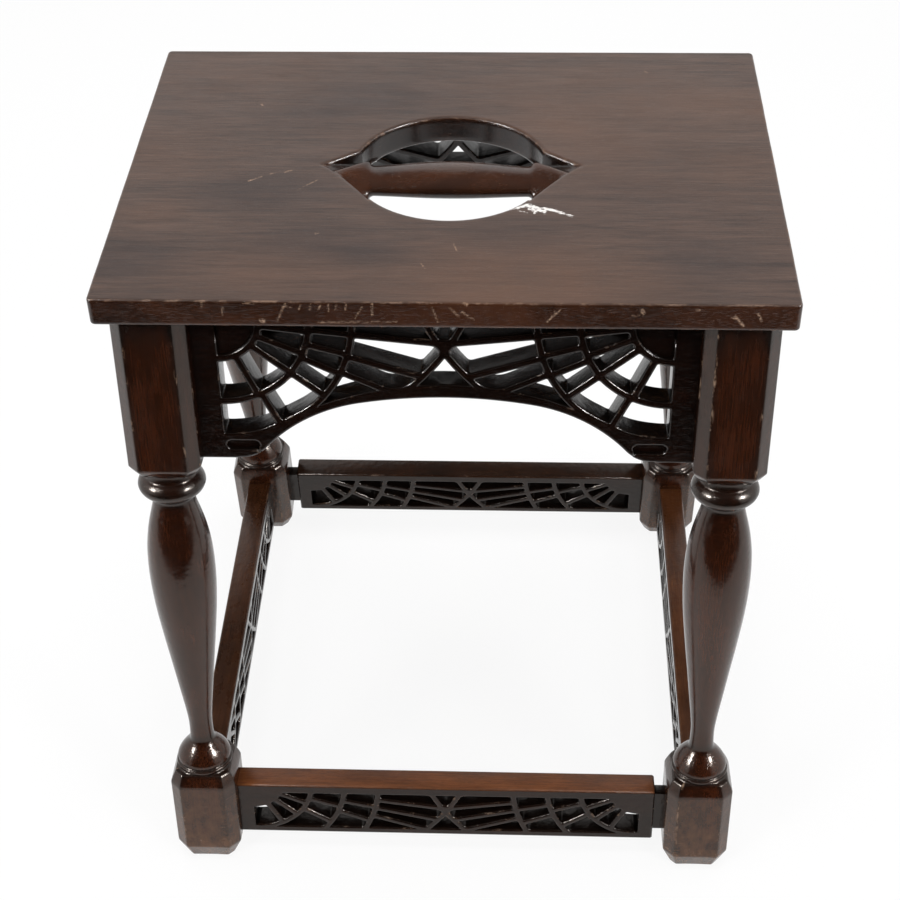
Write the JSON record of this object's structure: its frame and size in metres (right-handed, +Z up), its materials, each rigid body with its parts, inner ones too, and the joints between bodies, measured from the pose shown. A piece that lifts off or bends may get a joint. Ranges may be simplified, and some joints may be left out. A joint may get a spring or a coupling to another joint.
{
  "type": "joined wooden stool",
  "caption": "Low rectangular wooden stool with a carved hand grip in the seat, turned raked legs, pierced fan friezes and pierced stretchers.",
  "frame": {"origin": "on the floor, under the middle of the seat", "axes": "+Z up; +X towards the right end of the seat, along its length; the front is -Y"},
  "size_m": [0.36, 0.3462, 0.407],
  "materials": {
    "seat_wood": "worn satin polish, grey-brown walnut with scratches",
    "dark_wood": "dark red-brown stain, glossy, worn at the edges",
    "raw_wood": "unfinished softwood",
    "screw_steel": "dull steel"
  },
  "bodies": {
    "root": {"seat": "seat_wood", "leg_front_left": "dark_wood", "leg_front_right": "dark_wood", "leg_back_left": "dark_wood", "leg_back_right": "dark_wood", "frieze_front": "dark_wood", "frieze_back": "dark_wood", "frieze_left": "dark_wood", "frieze_right": "dark_wood", "stretcher_front": "dark_wood", "stretcher_back": "dark_wood", "stretcher_left": "dark_wood", "stretcher_right": "dark_wood", "glue_block_front_left": "raw_wood", "glue_block_front_right": "raw_wood", "glue_block_back_left": "raw_wood", "glue_block_back_right": "raw_wood", "block_screws": "screw_steel"}
  },
  "joints": []
}
